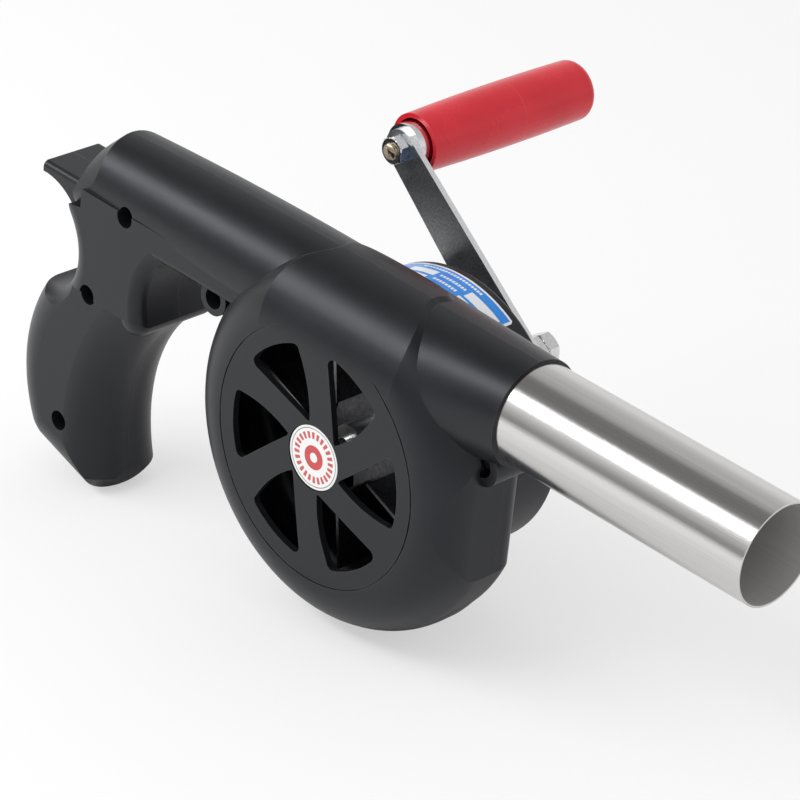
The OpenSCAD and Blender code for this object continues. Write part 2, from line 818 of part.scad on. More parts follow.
module idler_pinion() {
    color("silver") standing() gear_at([idler_x, idler_z], pinion_teeth,
        to_idler_ang + 180 + 180 / pinion_teeth, stage1_y - 0.5, stage2_y, idler_shaft_d / 2);
}

module idler_wheel() {
    color("silver") standing() difference() {
        gear_at([idler_x, idler_z], wheel_teeth, idler_ang + 180, stage2_y, stage2_y + wheel_w,
            idler_shaft_d / 2);
        for (k = [0:4]) rod([idler_x, idler_z] + polar(9, k * 72), 2.2, 0, 40);
    }
}

module fan_pinion() {
    color("silver") standing() gear_at([0, 0], pinion_teeth, idler_ang + 180 / pinion_teeth,
        stage2_y - 1, stage2_y + wheel_w + 1, fan_shaft_d / 2);
}

module idler_shaft() {
    color("silver") standing() rod([idler_x, idler_z], idler_shaft_d / 2, near_plate_y - 1.5,
        far_plate_y + plate_t + 1);
}

module crank_axle() {
    color("silver") standing() {
        rod([axle_x, axle_z], axle_d / 2, axle_start_y, arm_y);
        rod([axle_x, axle_z], axle_tip_d / 2, arm_y - e, axle_end_y);
    }
}

module crank_bush() {
    color("goldenrod") standing() {
        ring([axle_x, axle_z], axle_d / 2 + run_fit, bush_out_r, near_plate_y,
            near_plate_y + plate_t);
        ring([axle_x, axle_z], axle_d / 2 + run_fit, bush_out_r, drum_depth - wall - 4,
            hub_end_y);
    }
}

module axle_spacer() {
    color("silver") standing() ring([axle_x, axle_z], axle_d / 2, axle_d / 2 + 2.5,
        hub_end_y + 0.3, arm_y);
}

// Tapered arm with two round ends
module arm_outline() {
    lean = asin((arm_big_r - arm_small_r) / crank_len);
    circle(arm_big_r);
    translate([crank_len, 0]) circle(arm_small_r);
    polygon([polar(arm_big_r - nick, 90 - lean), polar(arm_big_r - nick, lean - 90),
        [crank_len, 0] + polar(arm_small_r - nick, lean - 90),
        [crank_len, 0] + polar(arm_small_r - nick, 90 - lean)]);
}

module crank_arm() {
    color([0.55, 0.56, 0.57]) standing() difference() {
        plate(arm_y, arm_far_y) translate([axle_x, axle_z]) rotate(crank_angle) arm_outline();
        rod([axle_x, axle_z], axle_tip_d / 2, arm_y - 1, arm_far_y + 1);
        rod([grip_x, grip_z], handle_bolt_d / 2, arm_y - 1, arm_far_y + 1);
    }
}

module crank_washer() {
    color("silver") standing() ring([axle_x, axle_z], axle_tip_d / 2, washer_r, arm_far_y,
        arm_far_y + washer_t);
}

module hex_nut(p, af, bore, y0, y1) {
    difference() {
        rod(p, af / 2 / cos(30), y0, y1, 6);
        rod(p, bore, y0 - 1, y1 + 1);
    }
}

module crank_nut() {
    color("silver") standing() for (k = [0, 1]) let (y = arm_far_y + washer_t + k * crank_nut_t)
        hex_nut([axle_x, axle_z], crank_nut_af, axle_tip_d / 2, y, y + crank_nut_t - k * e);
}

module handle_nut() {
    color("silver") standing() hex_nut([grip_x, grip_z], handle_nut_af, handle_bolt_d / 2,
        arm_y - handle_nut_t, arm_y);
}

module handle_bolt() {
    color("silver") standing() {
        rod([grip_x, grip_z], handle_bolt_d / 2, arm_y - handle_nut_t - 0.9, handle_end_y - 9);
        rod([grip_x, grip_z], handle_bolt_d / 2 + 1.9, handle_end_y - 9, handle_end_y - 6);
    }
}

// Flanged sleeve that the handle turns on
module handle_bush() {
    color("silver") standing() {
        ring([grip_x, grip_z], handle_bolt_d / 2, 7.4, arm_far_y, arm_far_y + bush_flange_t);
        ring([grip_x, grip_z], handle_bolt_d / 2, bush_r, arm_far_y, handle_end_y - 9);
    }
}

// Barrel shaped handle, hollow and open at the arm, with a bored core
module handle_grip() {
    core_r = bush_r + 2.2;
    handle_tip_r = handle_bow(handle_len - 3);
    color("red") standing() translate([grip_x, handle_y, grip_z]) rotate([-90, 0, 0])
        difference() {
            rotate_extrude() difference() {
                intersection() {
                    polygon(concat([[0, 0]], [for (i = [0:handle_bands])
                        let (y = handle_len * i / handle_bands) [handle_bow(y), y]],
                        [[0, handle_len]]));
                    union() {
                        square([handle_r + 1, handle_len - 3]);
                        square([handle_tip_r - 3, handle_len]);
                        translate([handle_tip_r - 3, handle_len - 3]) circle(3);
                    }
                }
                translate([core_r, -1]) square([handle_end_r - handle_wall - core_r,
                    handle_len - 8]);
                translate([-1, -1]) square([core_r + 1, 7]);
            }
            translate([0, 0, -1]) cylinder(h = handle_len - 8, r = bush_r + run_fit);
            translate([0, 0, handle_len - 9 - 0.3])
                cylinder(h = 3.6, r = handle_bolt_d / 2 + 2.3);
        }
}

// Spring clip that keeps the handle on its sleeve
module handle_clip() {
    color("silver") standing() ring([grip_x, grip_z], bush_r, bush_r + 1.4, handle_y + 3.2,
        handle_y + 4);
}

near_shell();
far_shell();
air_tube();
hub_sticker();
drum_label();
shell_screws();
impeller();
impeller_hub();
fan_shaft();
fan_pinion();
fan_bushes();
frame_near_plate();
frame_far_plate();
frame_posts();
frame_nuts();
frame_screws();
idler_wheel();
idler_pinion();
idler_shaft();
crank_wheel();
crank_axle();
crank_bush();
axle_spacer();
crank_arm();
crank_washer();
crank_nut();
handle_bolt();
handle_nut();
handle_bush();
handle_grip();
handle_clip();
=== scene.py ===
# %% [markdown]
# # A hand cranked barbecue blower
# The CAD model gives every solid its true size and place. Blender gives it a skin:
# textured black plastic, brushed steel, plated nuts and a satin red handle.
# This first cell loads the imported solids. Each one arrives as an object at the origin with
# its place stored in its mesh, so nothing has to be moved or fitted.

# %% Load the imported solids
import math

import bmesh
import bpy
from mathutils import Matrix, Vector


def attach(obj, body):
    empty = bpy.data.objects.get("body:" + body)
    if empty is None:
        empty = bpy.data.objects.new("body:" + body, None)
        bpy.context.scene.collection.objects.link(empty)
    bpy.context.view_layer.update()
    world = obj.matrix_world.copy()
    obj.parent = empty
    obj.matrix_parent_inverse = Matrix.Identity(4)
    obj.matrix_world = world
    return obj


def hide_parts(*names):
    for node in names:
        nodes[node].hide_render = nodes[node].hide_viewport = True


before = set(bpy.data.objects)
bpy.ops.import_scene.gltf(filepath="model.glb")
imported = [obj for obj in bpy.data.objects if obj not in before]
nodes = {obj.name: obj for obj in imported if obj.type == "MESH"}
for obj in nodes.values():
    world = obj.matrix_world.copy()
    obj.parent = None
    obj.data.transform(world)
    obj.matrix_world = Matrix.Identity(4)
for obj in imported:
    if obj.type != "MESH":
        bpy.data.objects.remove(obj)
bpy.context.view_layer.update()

# %% [markdown]
# ## The maker's own axes
# The blower was drawn with the fan axis at the origin and the air tube along X. It then stands
# on the round housing and the foot of the grip, tipped nose down by a few degrees. It is far
# easier to place a nut or a camera in the drawing's own millimetres, so two small helpers turn
# a drawing point or direction into the standing frame in metres.

# %% Drawing millimetres to standing metres
MM_PER_METRE = 1000
TIP = math.radians(5.37781)
# The point of the tipped drawing that becomes the standing frame's origin
MIDDLE = Vector((3.48803, 51.45, -61.5799))
tipping = Matrix.Rotation(TIP, 3, "Y")


def aim(x, y, z):
    """A direction of the drawing, in the standing frame."""
    return tipping @ Vector((x, y, z))


def place(x, y, z):
    """A point of the drawing in millimetres, in the standing frame in metres."""
    return (aim(x, y, z) - MIDDLE) / MM_PER_METRE


TUBE_Z, TUBE_END = 37.6, 155.7

# %% [markdown]
# ## The camera
# The photograph was taken with a long lens from the grille side, above and a little in front.
# Its direction is kept as three numbers: the turn round the blower, the height angle and a small
# roll. Building the camera's axes from them, in place of a Track To constraint, keeps the roll
# exact.

# %% Camera
TURN, HEIGHT, ROLL = (math.radians(a) for a in (43.02, 29.65, 6.04))
LOOKED_AT, DISTANCE = Vector((10.31, 0, 16.88)), 1094.46
FOCAL_PIXELS, PICTURE_PIXELS, SENSOR = 3681.19, 800, 36
behind = Vector((
    math.sin(TURN) * math.cos(HEIGHT), -math.cos(TURN) * math.cos(HEIGHT), math.sin(HEIGHT)))
level = Vector((math.cos(TURN), math.sin(TURN), 0))
upward = behind.cross(level)
screen_right = math.cos(ROLL) * level + math.sin(ROLL) * upward
screen_up = math.cos(ROLL) * upward - math.sin(ROLL) * level

scene = bpy.context.scene
camera_data = bpy.data.cameras.new("portrait_camera")
camera_data.sensor_width = SENSOR
camera_data.lens = SENSOR * FOCAL_PIXELS / PICTURE_PIXELS
camera_data.clip_end = 20
camera = bpy.data.objects.new("portrait_camera", camera_data)
scene.collection.objects.link(camera)
axes = Matrix([aim(*v) for v in (screen_right, screen_up, behind)]).transposed()
stand = place(*(LOOKED_AT + behind * DISTANCE))
camera.matrix_world = Matrix.Translation(stand) @ axes.to_4x4()
scene.camera = camera
print("camera at", [round(v, 3) for v in stand], "lens", round(camera_data.lens, 1))

# %% [markdown]
# ## Small node helpers
# Shader nodes are quick to wire by hand and slow to read in code. A few helpers keep the wiring
# short: one adds a node with its settings, one does a single step of arithmetic, one mixes two
# colours, and two make and place a node group. A value handed to them can be a number or the
# output of another node.

# %% Node helpers
NUMBER, VECTOR = "NodeSocketFloat", "NodeSocketVector"
# A Mix node has sockets for numbers, vectors and colours. These are its colour sockets
MIX_FIRST, MIX_SECOND, MIX_RESULT = 6, 7, 2


def add(tree, kind, wires=None, **settings):
    """Adds one node. wires maps input names to numbers or to other nodes' outputs."""
    node = tree.nodes.new(kind)
    for key, value in settings.items():
        setattr(node, key, value)
    for key, value in (wires or {}).items():
        if isinstance(value, bpy.types.NodeSocket):
            tree.links.new(value, node.inputs[key])
        else:
            node.inputs[key].default_value = value
    return node


def calc(tree, step, a, b=0.0):
    """One step of arithmetic."""
    return add(tree, "ShaderNodeMath", {0: a, 1: b}, operation=step).outputs[0]


def blend_colours(tree, amount, first, second):
    """The first colour where the amount is 0, the second where it is 1."""
    mixer = add(tree, "ShaderNodeMix", {"Factor": amount}, data_type="RGBA")
    for index, colour in ((MIX_FIRST, first), (MIX_SECOND, second)):
        if isinstance(colour, bpy.types.NodeSocket):
            tree.links.new(colour, mixer.inputs[index])
        else:
            mixer.inputs[index].default_value = (*colour, 1)
    return mixer.outputs[MIX_RESULT]


def new_group(name, inputs, outputs):
    """An empty node group with named inputs, each with its usual value, and named outputs."""
    tree = bpy.data.node_groups.new(name, "ShaderNodeTree")
    for label, usual in inputs.items():
        kind = VECTOR if isinstance(usual, tuple) else NUMBER
        tree.interface.new_socket(label, in_out="INPUT", socket_type=kind).default_value = usual
    for label, kind in outputs.items():
        tree.interface.new_socket(label, in_out="OUTPUT", socket_type=kind)
    given = tree.nodes.new("NodeGroupInput").outputs
    return tree, given, tree.nodes.new("NodeGroupOutput").inputs


def use(tree, group, **values):
    """Places a group in a material. An underscore in a keyword stands for a space."""
    node = tree.nodes.new("ShaderNodeGroup")
    node.node_tree = bpy.data.node_groups[group]
    for key, value in values.items():
        label = key.replace("_", " ")
        if isinstance(value, bpy.types.NodeSocket):
            tree.links.new(value, node.inputs[label])
        else:
            node.inputs[label].default_value = value
    return node.outputs


print("node helpers ready")

# %% [markdown]
# ## The studio
# Metal has no look of its own: the tube shows whatever stands round it. So the sky is built as
# a small studio. Light that falls on the blower sees an even dim white. A mirror ray sees a
# pale wall behind the blower, a dark strip overhead along the tube, and a bright front that
# fades towards the horizon. An HDR picture could do the same, but a ramp over the arch from
# back to front is easier to aim. The camera sees plain white.

# %% World
WHITE = (1, 1, 1, 1)
DIM = 0.74
# Places on the arch, from behind (0) over the top (0.5) to the front (1), each with its shade
STRIPS = (
    (0.0, 0.95), (0.14, 0.9), (0.22, 0.7), (0.40, 0.55), (0.45, 0.24),
    (0.645, 0.2), (0.665, 0.95), (0.80, 0.95), (0.97, 0.3))

scene.view_settings.view_transform = "Standard"
world = bpy.data.worlds.new("white_studio")
scene.world = world
world.use_nodes = True
sky = world.node_tree
sky.nodes.clear()
looking = add(sky, "ShaderNodeTexCoord").outputs["Generated"]
toward = add(sky, "ShaderNodeSeparateXYZ", {"Vector": looking}).outputs
arch = calc(sky, "MULTIPLY", calc(sky, "ARCTAN2", toward["Z"], toward["Y"]), 1 / math.pi)
walls = add(sky, "ShaderNodeValToRGB", {"Fac": arch})
ramp = walls.color_ramp.elements
while len(ramp) < len(STRIPS):
    ramp.new(0.5)
for stop, (at, shade) in zip(ramp, STRIPS):
    stop.position = at
    stop.color = (shade, shade, shade, 1)


def sky_light(colour, strength):
    """A background of one colour, or of the colour that another node gives."""
    return add(sky, "ShaderNodeBackground", {"Color": colour, "Strength": strength}).outputs[0]


def either(amount, first, second):
    """The first light where the amount is 0, the second where it is 1."""
    return add(sky, "ShaderNodeMixShader", {0: amount, 1: first, 2: second}).outputs[0]


paths = add(sky, "ShaderNodeLightPath").outputs
lit = either(paths["Is Glossy Ray"], sky_light(WHITE, DIM), sky_light(walls.outputs[0], 1.0))
plain = calc(sky, "MAXIMUM", paths["Is Camera Ray"], paths["Is Transmission Ray"])
shown = either(plain, lit, sky_light(WHITE, 1.0))
add(sky, "ShaderNodeOutputWorld", {"Surface": shown})
print("world built with", len(sky.nodes), "nodes")

# %% [markdown]
# ## The lamp
# One long lamp hangs over the grille side, towards the grip. A round lamp would leave a dot on
# the barrel and the tube. This one has its long side along them, so it leaves one long streak.


# %% Key lamp
def long_lamp(name, at, toward, size, power):
    """A rectangular lamp at a drawing point, aimed at another, its long side along the tube."""
    data = bpy.data.lights.new(name, "AREA")
    data.shape = "RECTANGLE"
    data.size, data.size_y = size
    data.energy = power
    lamp = bpy.data.objects.new(name, data)
    scene.collection.objects.link(lamp)
    start, end = place(*at), place(*toward)
    facing = (start - end).normalized()
    along = aim(1, 0, 0)
    along = (along - along.dot(facing) * facing).normalized()
    turned = Matrix((along, facing.cross(along), facing)).transposed()
    lamp.matrix_world = Matrix.Translation(start) @ turned.to_4x4()
    print("lamp", name, power, "W at", [round(v, 2) for v in start])


long_lamp("key_lamp", at=(-640, -640, 700), toward=(0, 0, 20), size=(1.5, 0.3), power=8)

# %% [markdown]
# ## Where on the blower am I?
# Many finishes depend on the place: the seam runs along the middle plane, the sticker's ring
# goes round the fan axis. This group turns the object's own coordinates back into
# the drawing's millimetres with one Mapping node. Every material can then speak of places
# in the same numbers as the drawing.

# %% Drawing coordinates as a group
tree, _, result = new_group(
    "Drawing Place", {}, {"Place": VECTOR, "X": NUMBER, "Y": NUMBER, "Z": NUMBER})
own = add(tree, "ShaderNodeTexCoord").outputs["Object"]
back_to_drawing = add(tree, "ShaderNodeMapping", {
    "Vector": own, "Scale": (MM_PER_METRE,) * 3, "Rotation": (0, -TIP, 0),
    "Location": tipping.inverted() @ MIDDLE})
parts = add(tree, "ShaderNodeSeparateXYZ", {"Vector": back_to_drawing.outputs[0]})
tree.links.new(back_to_drawing.outputs[0], result["Place"])
for letter in "XYZ":
    tree.links.new(parts.outputs[letter], result[letter])
print("group", tree.name)

# %% [markdown]
# ## Bands
# A printed ring, a seam, a mould line and a margin are all the same thing: a value
# between two limits with a soft border. One group makes that mask, and each finish feeds it a
# different value, such as a distance, a height or an angle.

# %% Band group
tree, given, result = new_group(
    "Band", {"Value": 0.0, "From": 0.0, "To": 1.0, "Soft": 0.05}, {"Mask": NUMBER})
rise = calc(tree, "DIVIDE", calc(tree, "SUBTRACT", given["Value"], given["From"]), given["Soft"])
fall = calc(tree, "DIVIDE", calc(tree, "SUBTRACT", given["To"], given["Value"]), given["Soft"])
inside = calc(tree, "MINIMUM", rise, fall)
tree.links.new(add(tree, "ShaderNodeClamp", {"Value": inside}).outputs[0], result["Mask"])
print("group", tree.name)


def band(tree, value, limits, soft):
    """A mask that is 1 where the value lies between two limits."""
    return use(tree, "Band", Value=value, From=limits[0], To=limits[1], Soft=soft)["Mask"]


def distance(tree, across, up):
    """The distance from an axis, from its two parts."""
    across_squared, up_squared = (calc(tree, "MULTIPLY", v, v) for v in (across, up))
    return calc(tree, "SQRT", calc(tree, "ADD", across_squared, up_squared))


# %% [markdown]
# ## Grain, streaks and wear
# Moulded plastic has a fine even grain, drawn steel has long thin streaks, and every edge that
# hands touch is rubbed lighter. Grain and streaks are noise, even or stretched.
# The wear mask compares the surface's own normal with the one a small bevel would have: they
# differ only near edges, so wear follows the shape by itself.

# %% Grain group
def contrasted(tree, noise, contrast):
    """Spreads a noise away from its middle value by a contrast."""
    middle = 0.5
    spread = calc(tree, "MULTIPLY", calc(tree, "SUBTRACT", noise.outputs[0], middle), contrast)
    return calc(tree, "ADD", spread, middle)


tree, given, result = new_group("Grain", {"Size": 0.4, "Contrast": 1.0}, {"Value": NUMBER})
noise = add(tree, "ShaderNodeTexNoise", {
    "Vector": use(tree, "Drawing Place")["Place"],
    "Scale": calc(tree, "DIVIDE", 1.0, given["Size"]), "Detail": 3.0, "Roughness": 0.55})
tree.links.new(contrasted(tree, noise, given["Contrast"]), result["Value"])
print("group", tree.name)

# %% Streak group
tree, given, result = new_group(
    "Streaks", {"Stretch": (0.02, 3.0, 3.0), "Contrast": 1.0}, {"Value": NUMBER})
stretched = add(tree, "ShaderNodeVectorMath", {
    0: use(tree, "Drawing Place")["Place"], 1: given["Stretch"]}, operation="MULTIPLY")
noise = add(tree, "ShaderNodeTexNoise", {
    "Vector": stretched.outputs[0], "Scale": 1.0, "Detail": 4.0, "Roughness": 0.6})
tree.links.new(contrasted(tree, noise, given["Contrast"]), result["Value"])
print("group", tree.name)

# %% Wear group
tree, given, result = new_group(
    "Edge Wear", {"Reach": 0.0005, "Patch Size": 3.0}, {"Mask": NUMBER})
rounded = add(tree, "ShaderNodeBevel", {"Radius": given["Reach"]}, samples=6).outputs[0]
surface = add(tree, "ShaderNodeNewGeometry").outputs["Normal"]
alike = add(tree, "ShaderNodeVectorMath", {0: rounded, 1: surface}, operation="DOT_PRODUCT")
edge = add(tree, "ShaderNodeMapRange", {
    "Value": calc(tree, "SUBTRACT", 1.0, alike.outputs["Value"]),
    "From Min": 0.02, "From Max": 0.22}).outputs[0]
patches = use(tree, "Grain", Size=given["Patch Size"], Contrast=2.2)["Value"]
patches = add(tree, "ShaderNodeClamp", {"Value": patches}).outputs[0]
tree.links.new(calc(tree, "MULTIPLY", edge, patches), result["Mask"])
print("group", tree.name)


# %% [markdown]
# ## A bare material
# Each finish starts from the same place: a Principled shader whose even values are set on its
# own sockets. What changes over the surface is wired in afterwards, and two helpers do that for
# the roughness and for the bump.

# %% Start a material
def finish_named(name, metallic, roughness, specular=0.5, coat=0.0):
    """A new material with one Principled shader. Returns the material, its tree and the shader."""
    made = bpy.data.materials.new(name)
    made.use_nodes = True
    tree = made.node_tree
    tree.nodes.clear()
    shader = add(tree, "ShaderNodeBsdfPrincipled", {
        "Metallic": metallic, "Roughness": roughness, "Specular IOR Level": specular,
        "Coat Weight": coat, "Coat Roughness": 0.15})
    out = tree.nodes.new("ShaderNodeOutputMaterial")
    tree.links.new(shader.outputs[0], out.inputs["Surface"])
    return made, tree, shader


def set_roughness(tree, shader, least, pattern, spread):
    """Gives the shader a roughness that a pattern raises from its least value by a spread."""
    raised = calc(tree, "MULTIPLY", pattern, spread)
    tree.links.new(calc(tree, "ADD", least, raised), shader.inputs["Roughness"])


def set_bump(tree, shader, height, depth):
    """Gives the shader a normal from a height that changes over the surface, in metres."""
    bump = add(tree, "ShaderNodeBump", {"Height": height, "Distance": depth, "Strength": 1.0})
    tree.links.new(bump.outputs[0], shader.inputs["Normal"])


def dress(made, *names):
    """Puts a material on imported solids. Their meshes stay as they are."""
    for name in names:
        slots = nodes[name].data.materials
        slots.clear()
        slots.append(made)
    print(made.name, "on", ", ".join(names))


# %% [markdown]
# ## Casing plastic
# The halves are moulded in black ABS with a fine spark-eroded texture. It isn't pure black,
# the texture scatters a soft sheen, and the two halves meet in a hairline groove along the
# middle plane. The groove, the grain, a painted reflection on the strip beside the groove and
# the rubbed edges, which also carry a painted highlight, are all masks over one dark base.

# %% Casing plastic
# The groove, and the strip beside it that carries a painted reflection of the far half, in
# millimetres from the middle plane
GROOVE, PAINTED_REFLECTION_STRIP = (-0.22, 0.12), (0.15, 0.5)
GROOVE_DEPTH = 0.00012
casing, tree, shader = finish_named("casing_plastic", 0.0, 0.42, specular=0.37)
shader.inputs["Specular Tint"].default_value = (0.9, 0.93, 1.0, 1.0)
spot = use(tree, "Drawing Place")
groove = band(tree, spot["Y"], GROOVE, 0.1)
painted_reflection_strip = band(tree, spot["Y"], PAINTED_REFLECTION_STRIP, 0.15)
grain = use(tree, "Grain", Size=0.35, Contrast=1.0)["Value"]
cloud = use(tree, "Grain", Size=22.0, Contrast=1.4)["Value"]
edge_mask = use(tree, "Edge Wear", Reach=0.0005, Patch_Size=5.0)["Mask"]
base = blend_colours(tree, cloud, (0.007, 0.0072, 0.0088), (0.011, 0.0113, 0.0136))
# The rubbed edges are painted lighter, partly as wear and partly as a painted highlight along the
# edge rounds
base = blend_colours(tree, calc(tree, "MULTIPLY", edge_mask, 0.55), base, (0.1, 0.1, 0.105))
# The strip beside the groove is painted lighter as a painted reflection of the far half
base = blend_colours(tree, calc(tree, "MULTIPLY", painted_reflection_strip, 0.25), base, (0.05, 0.05, 0.052))
base = blend_colours(tree, groove, base, (0.002, 0.002, 0.002))
tree.links.new(base, shader.inputs["Base Color"])
set_roughness(tree, shader, 0.33, cloud, 0.08)
height = calc(tree, "SUBTRACT", calc(tree, "MULTIPLY", grain, 0.12), groove)
set_bump(tree, shader, height, GROOVE_DEPTH)
dress(casing, "near_shell", "far_shell")

# %% [markdown]
# ## Brushed steel tube
# The tube is drawn stainless steel. Streaks run along it, so the noise is stretched along X in
# the drawing's coordinates. Metal takes its look from what it mirrors, and the streaks only
# break the reflection up a little. The bore is never polished, so it is rougher and duller.

# %% Tube steel
# Distances from the tube's axis that belong to the bore, up to about the middle of the wall
BORE = (-1.0, 15.72)
steel, tree, shader = finish_named("tube_steel", 1.0, 0.24)
spot = use(tree, "Drawing Place")
from_axis = distance(tree, spot["Y"], calc(tree, "SUBTRACT", spot["Z"], TUBE_Z))
inner = band(tree, from_axis, BORE, 0.1)
streaks = use(tree, "Streaks", Stretch=(0.012, 2.6, 2.6), Contrast=1.2)["Value"]
fine = use(tree, "Streaks", Stretch=(0.05, 9.0, 9.0), Contrast=1.0)["Value"]
edge_mask = use(tree, "Edge Wear", Reach=0.0004, Patch_Size=4.0)["Mask"]
base = blend_colours(tree, streaks, (0.52, 0.51, 0.50), (0.70, 0.69, 0.68))
base = blend_colours(tree, edge_mask, base, (0.9, 0.9, 0.9))
tree.links.new(base, shader.inputs["Base Color"])
skin = calc(tree, "ADD", 0.11, calc(tree, "MULTIPLY", fine, 0.12))
set_roughness(tree, shader, skin, inner, 0.35)
polish = calc(tree, "SUBTRACT", 1.0, calc(tree, "MULTIPLY", inner, 0.45))
tree.links.new(polish, shader.inputs["Metallic"])
set_bump(tree, shader, fine, 0.000008)
dress(steel, "air_tube")


# %% [markdown]
# ## Small metal parts
# Zinc plate, ground shafts, cut gears, bright nuts, bronze bushes, the nickel plated brass of
# the fan's hub and yellow plated threads differ in colour, roughness and grain, but are built
# alike. One function makes them all from a few values.

# %% Metal family
def metal(name, dark, bright, rough, grain_size, bump, wear=0.5, spread=0.12):
    """A metal mottled between two colours, with a roughness that wanders and rubbed edges."""
    made, tree, shader = finish_named(name, 1.0, rough)
    mottle = use(tree, "Grain", Size=grain_size, Contrast=2.0)["Value"]
    broad = use(tree, "Grain", Size=grain_size * 6, Contrast=1.5)["Value"]
    edge_mask = use(tree, "Edge Wear", Reach=0.00035, Patch_Size=3.0)["Mask"]
    base = blend_colours(tree, mottle, dark, bright)
    base = blend_colours(tree, calc(tree, "MULTIPLY", edge_mask, wear), base, (0.92, 0.92, 0.9))
    tree.links.new(base, shader.inputs["Base Color"])
    set_roughness(tree, shader, rough - spread / 2, broad, spread)
    set_bump(tree, shader, mottle, bump)
    return made


zinc = metal("zinc_sheet", (0.76, 0.78, 0.8), (0.94, 0.95, 0.97), 0.36, 1.2, 0.00001)
# The fan's sheet is painted dark as painted shade inside the housing; the real fan is bright metal
fan_sheet_painted_shade = metal("fan_sheet_painted_shade", (0.10, 0.10, 0.11), (0.2, 0.2, 0.21), 0.42, 1.2, 0.00001)
shaft = metal("shaft_steel", (0.45, 0.45, 0.45), (0.6, 0.6, 0.6), 0.22, 0.5, 0.000005)
gear = metal("gear_steel", (0.3, 0.3, 0.31), (0.46, 0.46, 0.47), 0.3, 0.6, 0.000008)
screw = metal("screw_steel", (0.4, 0.4, 0.42), (0.6, 0.6, 0.62), 0.3, 0.6, 0.000008)
bronze = metal("bush_bronze", (0.4, 0.26, 0.12), (0.58, 0.4, 0.2), 0.35, 0.5, 0.00001, 0.2)
hub = metal("brass_hub", (0.6, 0.61, 0.6), (0.84, 0.85, 0.85), 0.3, 0.6, 0.000005, 0.2)
chrome = metal("nut_chrome", (0.62, 0.62, 0.63), (0.8, 0.8, 0.81), 0.14, 0.8, 0.000006, 0.6, 0.08)
thread = metal("thread_brass", (0.34, 0.27, 0.18), (0.56, 0.48, 0.36), 0.25, 0.4, 0.00001, 0.4)
dress(zinc, "frame_near_plate", "frame_far_plate")
dress(fan_sheet_painted_shade, "impeller")
dress(shaft, "fan_shaft", "frame_posts", "idler_shaft", "axle_spacer", "handle_clip")
dress(gear, "fan_pinion", "idler_wheel", "idler_pinion", "crank_wheel")
dress(screw, "shell_screws", "frame_screws")
dress(bronze, "fan_bushes", "crank_bush")
dress(hub, "impeller_hub")
dress(chrome, "frame_nuts", "crank_washer", "crank_nut", "handle_nut", "handle_bush")
dress(thread, "crank_axle", "handle_bolt")

# %% [markdown]
# ## The crank arm
# The arm is stamped from zinc plated strip. Its faces have gone dull and mottled, and the sheared
# edge round it stays bright. The crank turns about Y, so the Y part of the true normal tells
# face from edge at any turn of the crank.

# %% Arm zinc
# How far along Y the normal of a face points. The upper limit is out of its reach
FACE = (0.7, 2.0)
arm_zinc, tree, shader = finish_named("arm_zinc", 1.0, 0.3)
true_normal = add(tree, "ShaderNodeNewGeometry").outputs["True Normal"]
along_y = add(tree, "ShaderNodeSeparateXYZ", {"Vector": true_normal}).outputs["Y"]
face = band(tree, calc(tree, "ABSOLUTE", along_y), FACE, 0.1)
mottle = use(tree, "Grain", Size=0.8, Contrast=2.4)["Value"]
cloud = use(tree, "Grain", Size=6.0, Contrast=1.6)["Value"]
edge_mask = use(tree, "Edge Wear", Reach=0.0004, Patch_Size=3.0)["Mask"]
dull = blend_colours(tree, mottle, (0.22, 0.235, 0.25), (0.52, 0.535, 0.55))
dull = blend_colours(tree, calc(tree, "MULTIPLY", cloud, 0.5), dull, (0.34, 0.35, 0.365))
edge_bright = blend_colours(tree, mottle, (0.72, 0.73, 0.74), (0.85, 0.85, 0.86))
base = blend_colours(tree, face, edge_bright, dull)
base = blend_colours(tree, calc(tree, "MULTIPLY", edge_mask, 0.8), base, (0.9, 0.9, 0.9))
tree.links.new(base, shader.inputs["Base Color"])
set_roughness(tree, shader, 0.26, cloud, 0.16)
set_bump(tree, shader, mottle, 0.00002)
dress(arm_zinc, "crank_arm")

# %% [markdown]
# ## Red handle
# The handle is moulded in red plastic with a satin skin. A faint line goes round it where the
# mould's cores meet, and the colour pales where the skin is rubbed.

# %% Handle red
MOULD_LINE = (93.6, 93.9)
red, tree, shader = finish_named("handle_red", 0.0, 0.36, specular=0.4)
line = band(tree, use(tree, "Drawing Place")["Y"], MOULD_LINE, 0.15)
grain = use(tree, "Grain", Size=0.5, Contrast=1.0)["Value"]
cloud = use(tree, "Grain", Size=14.0, Contrast=1.4)["Value"]
edge_mask = use(tree, "Edge Wear", Reach=0.0006, Patch_Size=4.0)["Mask"]
base = blend_colours(tree, cloud, (0.6, 0.01, 0.022), (0.72, 0.02, 0.036))
base = blend_colours(tree, calc(tree, "MULTIPLY", edge_mask, 0.4), base, (0.85, 0.2, 0.2))
base = blend_colours(tree, calc(tree, "MULTIPLY", line, 0.5), base, (0.85, 0.12, 0.12))
tree.links.new(base, shader.inputs["Base Color"])
set_roughness(tree, shader, 0.2, cloud, 0.12)
set_bump(tree, shader, calc(tree, "ADD", calc(tree, "MULTIPLY", grain, 0.2), line), 0.00004)
dress(red, "handle_grip")

# %% [markdown]
# ## Sticker and label
# Both are printed vinyl. The sticker on the hub is white, with a dark rim, a ring of red dashes
# and a plain red ring in the middle. The label round the drum is blue, with a white margin, blank
# fields and rows of dashes. A picture of the print would need to be unwrapped onto the pieces.
# Here the prints are bands of distance from the fan axis, of angle round it and of depth along it.

